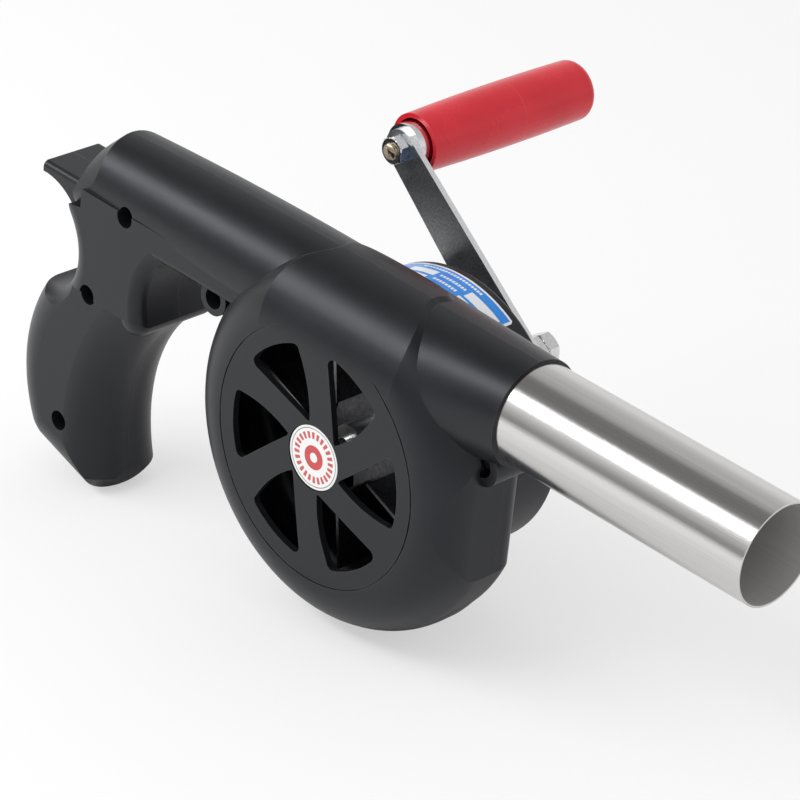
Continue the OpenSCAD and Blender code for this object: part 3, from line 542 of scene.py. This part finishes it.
# %% Sticker
# Inner and outer radius of each printed ring, and how many dashes go round
RIM, DASHES, RING = (9.3, 9.65), (6.1, 8.4), (1.5, 4.0)
DASH_COUNT = 24
RED_INK = (0.55, 0.008, 0.016)
sticker, tree, shader = finish_named("sticker", 0.0, 0.3, specular=0.45, coat=0.3)
spot = use(tree, "Drawing Place")
out_from_axis = distance(tree, spot["X"], spot["Z"])
dash_turn = calc(
    tree, "MULTIPLY", calc(tree, "ARCTAN2", spot["Z"], spot["X"]), DASH_COUNT / math.tau)
dash = band(tree, calc(tree, "FRACT", dash_turn), (0.18, 0.82), 0.08)
dashes = calc(tree, "MULTIPLY", dash, band(tree, out_from_axis, DASHES, 0.12))
ring = band(tree, out_from_axis, RING, 0.12)
rim = band(tree, out_from_axis, RIM, 0.12)
speck = use(tree, "Grain", Size=1.5, Contrast=1.0)["Value"]
base = blend_colours(tree, speck, (0.8, 0.8, 0.79), (0.86, 0.86, 0.85))
base = blend_colours(tree, calc(tree, "MULTIPLY", dashes, 0.92), base, RED_INK)
base = blend_colours(tree, calc(tree, "MULTIPLY", ring, 0.95), base, RED_INK)
base = blend_colours(tree, rim, base, (0.05, 0.05, 0.05))
tree.links.new(base, shader.inputs["Base Color"])
set_bump(tree, shader, speck, 0.00001)
dress(sticker, "hub_sticker")

# %% Label print
# The label lies between two depths in millimetres and two turns in degrees round the fan axis
LABEL_Y, LABEL_TURN = (18.1, 32.5), (59.4, 127.8)
MARGIN_Y, MARGIN_TURN = 0.7, 1.1
DASHES_PER_DEGREE = 0.62
# Each field has a first and last turn, a first and last depth, and may be broken into dashes
FIELDS = (
    (62, 79, 24.6, 28.4, False), (62, 80, 19.4, 23.6, False), (97, 111, 25.4, 28.6, False),
    (98, 108, 21.6, 24.2, False), (76, 108, 29.8, 30.9, True), (81, 95, 26.6, 27.8, True),
    (82, 95, 23.6, 24.8, True), (83, 96, 20.8, 21.8, True))

label, tree, shader = finish_named("label", 0.0, 0.28, specular=0.45, coat=0.3)
spot = use(tree, "Drawing Place")
turn = calc(tree, "MULTIPLY", calc(tree, "ARCTAN2", spot["Z"], spot["X"]), 180 / math.pi)


def field_mask(turns, depths):
    """A mask that is 1 on a patch of the label between two turns and two depths."""
    return calc(tree, "MULTIPLY", band(tree, turn, turns, 0.15), band(tree, spot["Y"], depths, 0.1))


ink = field_mask((LABEL_TURN[0] + MARGIN_TURN, LABEL_TURN[1] - MARGIN_TURN),
                 (LABEL_Y[0] + MARGIN_Y, LABEL_Y[1] - MARGIN_Y))
speck = use(tree, "Grain", Size=1.5, Contrast=1.0)["Value"]
blue = blend_colours(tree, speck, (0.004, 0.2, 0.66), (0.01, 0.25, 0.76))
base = blend_colours(tree, ink, (0.8, 0.8, 0.8), blue)
dash_turn = calc(tree, "MULTIPLY", turn, DASHES_PER_DEGREE)
dash = band(tree, calc(tree, "FRACT", dash_turn), (0.12, 0.88), 0.06)
for first, last, near, far, broken in FIELDS:
    field = field_mask((first, last), (near, far))
    if broken:
        field = calc(tree, "MULTIPLY", field, dash)
    base = blend_colours(tree, calc(tree, "MULTIPLY", field, 0.96), base, (0.82, 0.82, 0.82))
tree.links.new(base, shader.inputs["Base Color"])
set_bump(tree, shader, speck, 0.00001)
print(label.name, "print with", len(FIELDS), "fields")


# %% [markdown]
# ## Pieces round an axis
# The label, the threads and the nuts are all made of points round an axis along Y. A modifier
# could bend or screw them into shape, but a few lines of bmesh set each point where it belongs.
# Three helpers serve them all: one gives a point round an axis, one joins two rings with faces,
# and one turns the finished mesh into an object with its material.

# %% Mesh helpers
def round_axis(axis, r, turn, y):
    """The place at a radius and a turn round an axis along Y, which is given by its X and Z."""
    return place(axis[0] + r * math.cos(turn), y, axis[1] + r * math.sin(turn))


def join_rings(mesh, first, second):
    """Faces between two rings that have as many points."""
    for col in range(len(first)):
        nxt = (col + 1) % len(first)
        mesh.faces.new((first[col], first[nxt], second[nxt], second[col]))


def new_piece(name, mesh, finish):
    """An object made from a finished mesh, with one material."""
    bmesh.ops.recalc_face_normals(mesh, faces=mesh.faces)
    data = bpy.data.meshes.new(name)
    mesh.to_mesh(data)
    mesh.free()
    data.materials.append(finish)
    piece = bpy.data.objects.new(name, data)
    scene.collection.objects.link(piece)
    print(name, len(data.vertices), "points")
    return piece


print("mesh helpers ready")


# %% [markdown]
# ## The label's sheet
# The label is a sheet of vinyl with rounded corners, stuck round the drum. It ends where the
# printed one does, and stands in for the CAD band, which runs further round. The grid's rows get
# shorter near both ends by a quarter circle, which rounds the corners without any cutting.

# %% Label sheet
def wrapped_strip(name, radius, thick, turns, depths, corner, finish):
    """A thin sheet with rounded corners round the fan axis, between two turns and two depths."""
    columns, rows = 72, 18
    mesh = bmesh.new()

    def layer(r):
        grid = []
        for i in range(columns + 1):
            turn = turns[0] + (turns[1] - turns[0]) * i / columns
            from_end = math.radians(min(turn - turns[0], turns[1] - turn)) * radius
            inset = corner - math.sqrt(max(0, corner ** 2 - max(0, corner - from_end) ** 2))
            line = []
            for j in range(rows + 1):
                y = depths[0] + inset + (depths[1] - depths[0] - 2 * inset) * j / rows
                line.append(mesh.verts.new(round_axis((0, 0), r, math.radians(turn), y)))
            grid.append(line)
        return grid

    under, over = layer(radius), layer(radius + thick)
    for i in range(columns):
        for j in range(rows):
            mesh.faces.new((over[i][j], over[i + 1][j], over[i + 1][j + 1], over[i][j + 1]))
            mesh.faces.new((under[i][j], under[i][j + 1], under[i + 1][j + 1], under[i + 1][j]))
    rim = [(i, 0) for i in range(columns)] + [(columns, j) for j in range(rows)]
    rim += [(i, rows) for i in range(columns, 0, -1)] + [(0, j) for j in range(rows, 0, -1)]
    for (a, b), (c, d) in zip(rim, rim[1:] + rim[:1]):
        mesh.faces.new((under[a][b], under[c][d], over[c][d], over[a][b]))
    return new_piece(name, mesh, finish)


LABEL_RADIUS, LABEL_THICK, LABEL_CORNER = 44.52, 0.16, 0.9
label_sheet = wrapped_strip(
    "label_sheet", LABEL_RADIUS, LABEL_THICK, LABEL_TURN, LABEL_Y, LABEL_CORNER, label)
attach(label_sheet, "casing")
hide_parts("drum_label")

# %% [markdown]
# ## Threads
# The CAD axle and bolt end in plain cylinders. A screw thread is a ridge that climbs one pitch
# in each turn, so it is easiest to build as a grid: rows go along the axis, columns go round
# it, and the radius of each point follows a saw of its height plus its turn.

# %% Thread pieces
RUN_OUT = 0.8


def threaded_end(name, axis, radius, depth, pitch, start, end, body):
    """A thread round a shaft along Y, which runs out over the last part of a pitch at the end."""
    around, rows = 40, max(12, int(abs(end - start) / pitch * 8))
    mesh = bmesh.new()
    grid = []
    for row in range(rows + 1):
        y = start + (end - start) * row / rows
        fade = min(1, abs(end - y) / pitch / RUN_OUT)
        line = []
        for col in range(around):
            turn = col / around
            crest = 1 - abs(2 * ((y / pitch + turn) % 1) - 1)
            r = radius + depth * crest * fade
            line.append(mesh.verts.new(round_axis(axis, r, math.tau * turn, y)))
        grid.append(line)
    for row in range(rows):
        join_rings(mesh, grid[row], grid[row + 1])
    mesh.faces.new(grid[0])
    mesh.faces.new(list(reversed(grid[-1])))
    piece = new_piece(name, mesh, thread)
    piece.data.polygons.foreach_set("use_smooth", [True] * len(piece.data.polygons))
    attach(piece, body)


# %% Thread at the axle and at the handle bolt
AXLE, BOLT = (12.8, 16.4), (-45.797, 63.851)
threaded_end(
    "axle_thread", AXLE, radius=3.01, depth=0.3, pitch=0.8, start=60.9, end=62.75, body="crank")
threaded_end(
    "bolt_thread", BOLT, radius=2.51, depth=0.25, pitch=0.7, start=44.6, end=43.4, body="crank")

# %% [markdown]
# ## Nuts with chamfers
# A real nut is a hexagon whose corners are turned off by a cone at both ends, which leaves the
# curved arcs on its flats. The same rule makes the mesh: round the axis each point takes the
# smaller of the hexagon's radius and the cone's radius at that height.

# %% Chamfered nut
# The cone starts at this share of the nut's half width and widens by the slope
CONE_SHARE, CONE_SLOPE = 0.985, 1.75
# The bore opens at both faces by this radius over this depth
LEAD_RADIUS, LEAD_DEPTH = 0.4, 0.35
# Heights of the rings as shares of the thickness, close together where the cone cuts
LEVELS = (0, 0.03, 0.08, 0.13, 0.18, 0.25, 0.5, 0.75, 0.82, 0.87, 0.92, 0.97, 1)


def chamfered_nut(name, axis, flats, bore, start, end, body, replaced=()):
    """A hexagon nut round an axis along Y, with its corners turned off at both ends."""
    around, side = 120, math.pi / 3
    turns = [math.tau * col / around for col in range(around)]
    mesh = bmesh.new()
    rings = []
    for level in LEVELS:
        y = start + (end - start) * level
        cone = flats / 2 * CONE_SHARE + CONE_SLOPE * min(y - start, end - y)
        ring = []
        for turn in turns:
            hexagon = flats / 2 / math.cos((turn + side / 2) % side - side / 2)
            ring.append(mesh.verts.new(round_axis(axis, min(hexagon, cone), turn, y)))
        rings.append(ring)
    for y in (end, end - LEAD_DEPTH, start + LEAD_DEPTH, start):
        r = bore + (LEAD_RADIUS if y in (start, end) else 0.0)
        rings.append([mesh.verts.new(round_axis(axis, r, turn, y)) for turn in turns])
    for first, second in zip(rings, rings[1:] + rings[:1]):
        join_rings(mesh, first, second)
    piece = new_piece(name, mesh, chrome)
    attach(piece, body)
    if replaced:
        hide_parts(*replaced)


# %% Nuts on the crank axle and on the handle bolt
chamfered_nut("arm_nut_inner", AXLE, 10, 3.0, 51.5, 56.2, "crank", ["crank_nut"])
chamfered_nut("arm_nut_outer", AXLE, 10, 3.0, 56.35, 61.1, "crank", ["crank_nut"])
chamfered_nut("grip_nut", BOLT, 8.4, 2.5, 44.4, 48, "crank", ["handle_nut"])

# %% [markdown]
# ## Floor
# The floor is a plain pale sheet. It keeps a soft shadow of the blower, which ties the object
# to the ground. The camera sees the sheet mixed with plain white, so the shadow stays faint
# while the lamp keeps its level.

# %% Floor
REACH, BELOW = 4.0, 0.0002
WHITE_SHARE = 0.52
corners = [(-REACH, -REACH, 0), (REACH, -REACH, 0), (REACH, REACH, 0), (-REACH, REACH, 0)]
floor_mesh = bpy.data.meshes.new("floor")
floor_mesh.from_pydata(corners, [], [(0, 1, 2, 3)])
floor = bpy.data.objects.new("floor", floor_mesh)
scene.collection.objects.link(floor)
floor.location.z = -BELOW
pale, tree, shader = finish_named("floor_white", 0.0, 0.9, specular=0.1)
shade = use(tree, "Grain", Size=300.0, Contrast=0.6)["Value"]
base = blend_colours(tree, shade, (0.93, 0.93, 0.93), (0.96, 0.96, 0.96))
tree.links.new(base, shader.inputs["Base Color"])
paper = add(tree, "ShaderNodeEmission", {"Color": WHITE, "Strength": 1.0}).outputs[0]
camera_ray = add(tree, "ShaderNodeLightPath").outputs["Is Camera Ray"]
share = calc(tree, "MULTIPLY", camera_ray, WHITE_SHARE)
whiter = add(tree, "ShaderNodeMixShader", {0: share, 1: shader.outputs[0], 2: paper}).outputs[0]
surface_out = next(node for node in tree.nodes if node.type == "OUTPUT_MATERIAL")
tree.links.new(whiter, surface_out.inputs["Surface"])
floor_mesh.materials.append(pale)
print("floor", 2 * REACH, "m wide")
